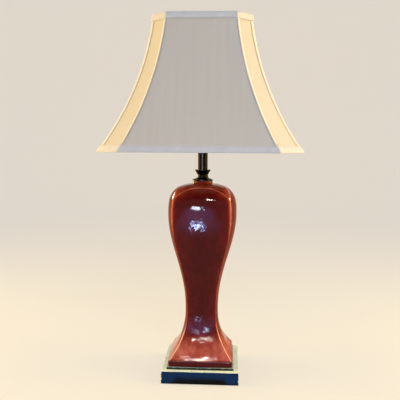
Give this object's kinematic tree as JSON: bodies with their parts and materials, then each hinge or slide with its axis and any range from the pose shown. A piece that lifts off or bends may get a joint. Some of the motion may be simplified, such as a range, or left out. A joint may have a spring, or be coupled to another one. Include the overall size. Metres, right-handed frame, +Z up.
{
  "type": "baluster table lamp",
  "caption": "Table lamp with a square baluster body in oxblood glaze on a stepped plinth, bronze neck, harp, turn switch and cut-corner bell shade.",
  "frame": {"origin": "middle of the felt pad's underside, on the table", "axes": "+Z up the lamp's axis, the front faces -Y, the cord inlet is at the back, +Y, and the harp's legs stand on the X axis"},
  "size_m": [0.406, 0.406, 0.7988],
  "materials": {
    "felt": "black wool felt",
    "plinth": "blue-black gloss lacquer on wood, silver leaf on the level faces",
    "black_plastic": "moulded black plastic",
    "glaze": "oxblood glaze, glossy, thin and paler on the ridges and foot",
    "brass": "satin brass",
    "rubber": "moulded black rubber",
    "bronze": "dark bronze lacquer, semi-gloss",
    "zinc_steel": "zinc-plated steel",
    "fibre": "vulcanised fibre",
    "phenolic": "moulded phenolic resin",
    "nickel": "nickel-plated aluminium",
    "bulb_glass": "soft white glass",
    "frame_wire": "white enamel on steel wire",
    "shade_fabric": "off-white faux silk, stretched",
    "lining_fabric": "white lining fabric",
    "trim_fabric": "off-white folded trim and piping"
  },
  "bodies": {
    "base": {"felt_pad": "felt", "plinth": "plinth", "plinth_step": "plinth", "cord_bushing": "black_plastic", "ceramic_body": "glaze", "centring_ring": "brass", "cap_gasket": "rubber", "vase_cap": "bronze", "neck_collar": "bronze", "neck_tube": "bronze", "lamp_pipe": "zinc_steel", "pipe_washer": "zinc_steel", "pipe_nut": "zinc_steel", "harp_saddle": "brass", "holder_cap": "brass", "set_screw": "zinc_steel", "holder_shell": "brass", "holder_liner": "fibre", "holder_core": "phenolic", "terminal_screws": "brass", "screw_shell": "brass", "centre_contact": "brass"},
    "switch": {"switch_spindle": "zinc_steel", "switch_knob": "black_plastic"},
    "bulb": {"bulb_base": "nickel", "bulb_contact": "nickel", "bulb_glass": "bulb_glass", "bulb_stem": "bulb_glass", "bulb_filament": "zinc_steel"},
    "harp": {"harp": "brass", "harp_crown": "brass"},
    "ferrule_left": {"harp_ferrule_left": "brass"},
    "ferrule_right": {"harp_ferrule_right": "brass"},
    "finial": {"finial": "bronze"},
    "shade": {"shade_top_ring": "frame_wire", "shade_bottom_ring": "frame_wire", "shade_ribs": "frame_wire", "shade_spider": "frame_wire", "shade_panel_front": "shade_fabric", "shade_panel_front_right": "shade_fabric", "shade_panel_right": "shade_fabric", "shade_panel_back_right": "shade_fabric", "shade_panel_back": "shade_fabric", "shade_panel_back_left": "shade_fabric", "shade_panel_left": "shade_fabric", "shade_panel_front_left": "shade_fabric", "shade_lining": "lining_fabric", "shade_top_trim": "trim_fabric", "shade_bottom_trim": "trim_fabric", "shade_piping": "trim_fabric"}
  },
  "joints": [
    {"name": "switch_turn", "type": "hinge", "parent": "base", "child": "switch", "pos_m": [0, -0.02, 0.5616], "axis": [0, -1, 0], "continuous": true},
    {"name": "bulb_turn", "type": "hinge", "parent": "base", "child": "bulb", "pos_m": [0, 0, 0.59], "axis": [0, 0, 1], "continuous": true},
    {"name": "harp_lift", "type": "slide", "parent": "base", "child": "harp", "axis": [0, 0, 1], "range_m": [0, 0.18]},
    {"name": "ferrule_left_slide", "type": "slide", "parent": "harp", "child": "ferrule_left", "axis": [0, 0, 1], "range_m": [0, 0.014]},
    {"name": "ferrule_right_slide", "type": "slide", "parent": "harp", "child": "ferrule_right", "axis": [0, 0, 1], "range_m": [0, 0.014]},
    {"name": "finial_lift", "type": "slide", "parent": "harp", "child": "finial", "axis": [0, 0, 1], "range_m": [0, 0.04]},
    {"name": "shade_turn", "type": "hinge", "parent": "harp", "child": "shade", "pos_m": [0, 0, 0.768], "axis": [0, 0, 1], "continuous": true}
  ]
}
